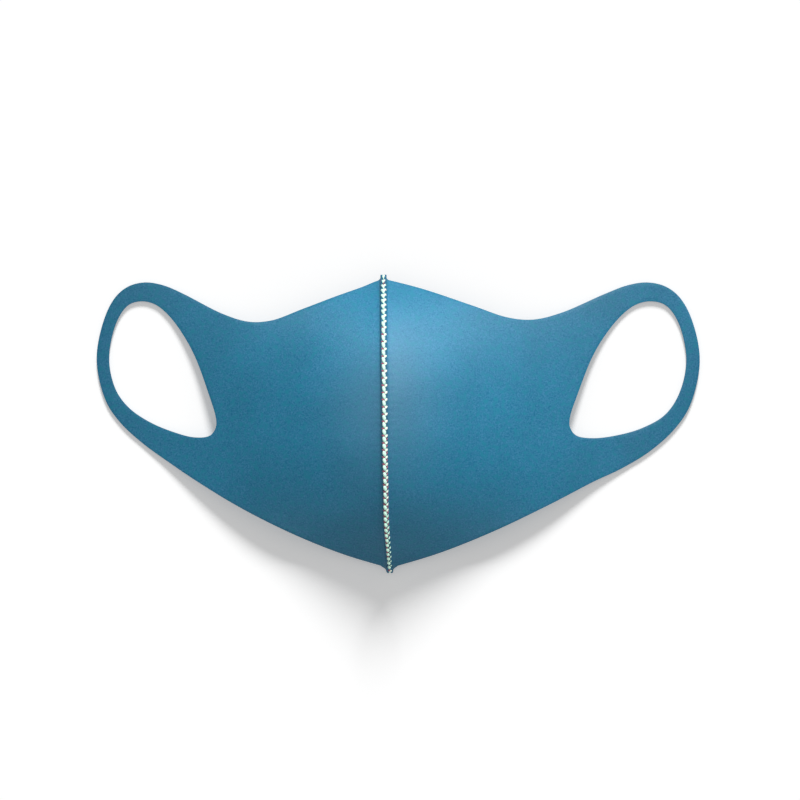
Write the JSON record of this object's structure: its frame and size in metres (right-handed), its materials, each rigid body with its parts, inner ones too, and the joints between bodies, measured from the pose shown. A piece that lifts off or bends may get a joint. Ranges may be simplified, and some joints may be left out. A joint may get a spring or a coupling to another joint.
{
  "type": "cloth face mask",
  "caption": "Moulded-look cloth face mask of two fabric panels with die-cut ear loops, joined by an overlocked centre seam, lying front up.",
  "frame": {"origin": "on the surface that the mask lies on, under the middle of its width and height", "axes": "+X to the right of the mask's front view, +Y to the nose edge, +Z out of the front, away from the face"},
  "size_m": [0.2712, 0.1351, 0.0385],
  "materials": {
    "blue_fabric": "matt stretch foam fabric with a fine grain",
    "white_thread": "white sewing thread with a crimson one looped in"
  },
  "bodies": {
    "root": {"left_panel": "blue_fabric", "right_panel": "blue_fabric", "overlock_thread": "white_thread"}
  },
  "joints": []
}
